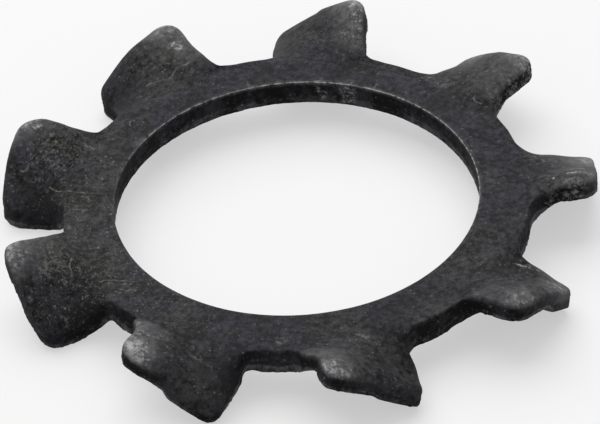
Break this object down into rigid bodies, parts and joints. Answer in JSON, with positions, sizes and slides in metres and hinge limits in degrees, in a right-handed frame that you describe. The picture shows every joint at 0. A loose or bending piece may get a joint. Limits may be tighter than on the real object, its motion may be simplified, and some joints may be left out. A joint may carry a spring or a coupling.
{
  "type": "external tooth lock washer",
  "caption": "Flat spring-steel ring with a plain bore and twisted teeth round its rim, which bite into the screw head and the plate to stop a screw from turning loose.",
  "frame": {"origin": "the middle of the bore, halfway through the thickness of the strip", "axes": "+Z along the bore's axis, out of the face with the rounded edges; +X along the middle line of the first tooth"},
  "size_m": [0.0174, 0.0175, 0.0024],
  "materials": {
    "blackened_steel": "hardened spring steel, blackened by oxide and oiled, satin, with dust in the bends and metal showing through at the raised corners"
  },
  "bodies": {
    "root": {"washer": "blackened_steel"}
  },
  "joints": []
}
